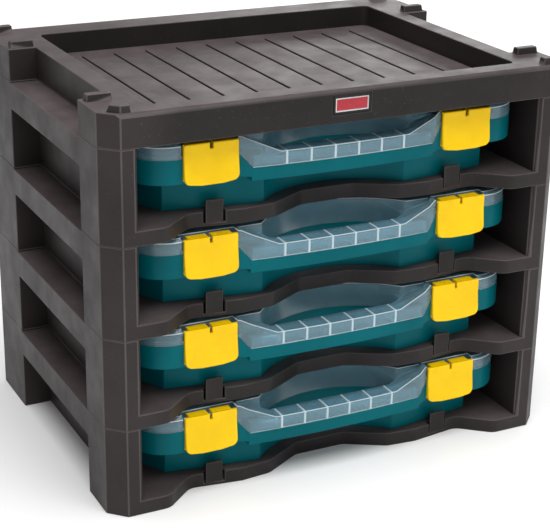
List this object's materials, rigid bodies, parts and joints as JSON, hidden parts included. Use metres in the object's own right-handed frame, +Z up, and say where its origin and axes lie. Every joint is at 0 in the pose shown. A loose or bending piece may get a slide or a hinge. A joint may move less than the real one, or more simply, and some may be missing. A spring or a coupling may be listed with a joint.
{
  "type": "small-parts organiser rack",
  "caption": "Black stackable rack with an open top tray, holding slide-out small-parts cases with teal bases, clear lids, bowed handles and yellow latches.",
  "frame": {"origin": "middle of the footprint, on the surface that the legs stand on", "axes": "+Z up, the open front towards -Y, +X to the right when seen from the front"},
  "size_m": [0.372, 0.27, 0.3055],
  "materials": {
    "rack_black": "semi-matte moulded plastic with light dust",
    "case_teal": "moulded teal plastic, satin",
    "lid_clear": "milky translucent plastic",
    "latch_yellow": "moulded yellow plastic, glossy",
    "label_red": "blank red plate"
  },
  "bodies": {
    "rack": {"top_tray": "rack_black", "label_plate": "label_red", "shelf_module_1": "rack_black", "stop_tongues_1": "rack_black", "shelf_module_2": "rack_black", "stop_tongues_2": "rack_black", "shelf_module_3": "rack_black", "stop_tongues_3": "rack_black", "shelf_module_4": "rack_black", "stop_tongues_4": "rack_black"},
    "case_1": {"case_base_1": "case_teal", "case_lid_1": "lid_clear"},
    "latch_left_1": {"latch_left_1": "latch_yellow"},
    "latch_right_1": {"latch_right_1": "latch_yellow"},
    "case_2": {"case_base_2": "case_teal", "case_lid_2": "lid_clear"},
    "latch_left_2": {"latch_left_2": "latch_yellow"},
    "latch_right_2": {"latch_right_2": "latch_yellow"},
    "case_3": {"case_base_3": "case_teal", "case_lid_3": "lid_clear"},
    "latch_left_3": {"latch_left_3": "latch_yellow"},
    "latch_right_3": {"latch_right_3": "latch_yellow"},
    "case_4": {"case_base_4": "case_teal", "case_lid_4": "lid_clear"},
    "latch_left_4": {"latch_left_4": "latch_yellow"},
    "latch_right_4": {"latch_right_4": "latch_yellow"}
  },
  "joints": [
    {"name": "case_1_slide", "type": "slide", "parent": "rack", "child": "case_1", "axis": [0, -1, 0], "range_m": [0, 0.245], "deforming": ["stop_tongues_1"]},
    {"name": "latch_left_1_hinge", "type": "hinge", "parent": "case_1", "child": "latch_left_1", "pos_m": [-0.1035, -0.1191, 0.061], "axis": [-1, 0, 0], "range_deg": [0, 85]},
    {"name": "latch_right_1_hinge", "type": "hinge", "parent": "case_1", "child": "latch_right_1", "pos_m": [0.1035, -0.1191, 0.061], "axis": [-1, 0, 0], "range_deg": [0, 85]},
    {"name": "case_2_slide", "type": "slide", "parent": "rack", "child": "case_2", "axis": [0, -1, 0], "range_m": [0, 0.245], "deforming": ["stop_tongues_2"]},
    {"name": "latch_left_2_hinge", "type": "hinge", "parent": "case_2", "child": "latch_left_2", "pos_m": [-0.1035, -0.1191, 0.13], "axis": [-1, 0, 0], "range_deg": [0, 85]},
    {"name": "latch_right_2_hinge", "type": "hinge", "parent": "case_2", "child": "latch_right_2", "pos_m": [0.1035, -0.1191, 0.13], "axis": [-1, 0, 0], "range_deg": [0, 85]},
    {"name": "case_3_slide", "type": "slide", "parent": "rack", "child": "case_3", "axis": [0, -1, 0], "range_m": [0, 0.245], "deforming": ["stop_tongues_3"]},
    {"name": "latch_left_3_hinge", "type": "hinge", "parent": "case_3", "child": "latch_left_3", "pos_m": [-0.1035, -0.1191, 0.199], "axis": [-1, 0, 0], "range_deg": [0, 85]},
    {"name": "latch_right_3_hinge", "type": "hinge", "parent": "case_3", "child": "latch_right_3", "pos_m": [0.1035, -0.1191, 0.199], "axis": [-1, 0, 0], "range_deg": [0, 85]},
    {"name": "case_4_slide", "type": "slide", "parent": "rack", "child": "case_4", "axis": [0, -1, 0], "range_m": [0, 0.245], "deforming": ["stop_tongues_4"]},
    {"name": "latch_left_4_hinge", "type": "hinge", "parent": "case_4", "child": "latch_left_4", "pos_m": [-0.1035, -0.1191, 0.268], "axis": [-1, 0, 0], "range_deg": [0, 85]},
    {"name": "latch_right_4_hinge", "type": "hinge", "parent": "case_4", "child": "latch_right_4", "pos_m": [0.1035, -0.1191, 0.268], "axis": [-1, 0, 0], "range_deg": [0, 85]}
  ]
}
